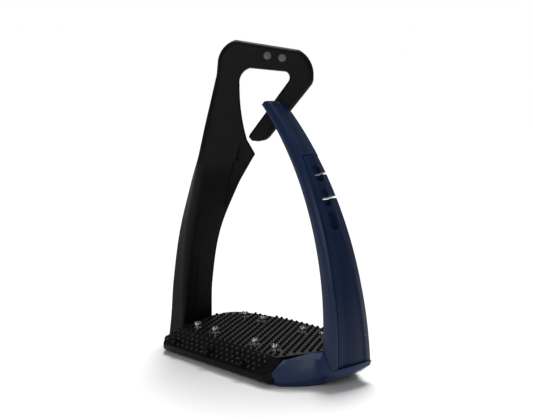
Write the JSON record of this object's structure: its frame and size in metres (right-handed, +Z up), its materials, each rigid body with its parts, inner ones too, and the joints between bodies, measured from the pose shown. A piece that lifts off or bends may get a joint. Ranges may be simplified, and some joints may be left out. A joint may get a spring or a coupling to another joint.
{
  "type": "stirrup iron",
  "caption": "Safety stirrup iron: rigid black inner branch with an open hooked eye, studded grip tread, and a blue sprung outer arm that flexes outward.",
  "frame": {"origin": "under the centre of the tread, on the surface the stirrup stands on", "axes": "+Z up, +X from the inner branch to the outer arm, +Y to the back of the tread"},
  "size_m": [0.1599, 0.083, 0.21],
  "materials": {
    "composite_black": "matte glass-filled plastic, faint moulded grain",
    "pad_rubber": "moulded tread with rows of small teeth",
    "stud_chrome": "bright plated steel",
    "stud_black": "blackened steel",
    "arm_blue": "satin moulded elastomer, navy blue",
    "steel": "plain zinc-plated steel",
    "spring_steel": "bare spring steel",
    "brass": "turned brass",
    "rivet_grey": "dull grey rivet ends"
  },
  "bodies": {
    "frame": {"tread_pad": "pad_rubber", "base_platform": "composite_black", "underside_cover": "composite_black", "cover_screws": "steel", "pad_screws": "steel", "stud_inserts": "brass", "tread_studs": "stud_chrome", "front_grip": "pad_rubber", "front_grip_studs": "stud_black", "rail_lower": "arm_blue", "panel_lower": "arm_blue", "spring_lower": "spring_steel", "outer_shoe": "arm_blue", "spring_clamp": "steel", "clamp_screws": "steel", "inner_branch": "composite_black", "branch_bolts": "steel", "eye_plate": "spring_steel", "eye_rivets": "rivet_grey"},
    "arm_middle": {"rail_middle": "arm_blue", "panel_middle": "arm_blue", "spring_middle": "spring_steel"},
    "arm_upper": {"rail_upper": "arm_blue", "panel_upper": "arm_blue", "spring_upper": "spring_steel"}
  },
  "joints": [
    {"name": "flex_low", "type": "hinge", "parent": "frame", "child": "arm_middle", "pos_m": [0.0557, 0, 0.1115], "axis": [0, 1, 0], "range_deg": [0, 11], "stiffness_Nm_per_rad": 10},
    {"name": "flex_high", "type": "hinge", "parent": "arm_middle", "child": "arm_upper", "pos_m": [0.0482, 0, 0.1255], "axis": [0, 1, 0], "range_deg": [0, 11]}
  ],
  "couplings": [
    {"joint": "flex_high", "follows": "flex_low", "ratio": 1}
  ]
}
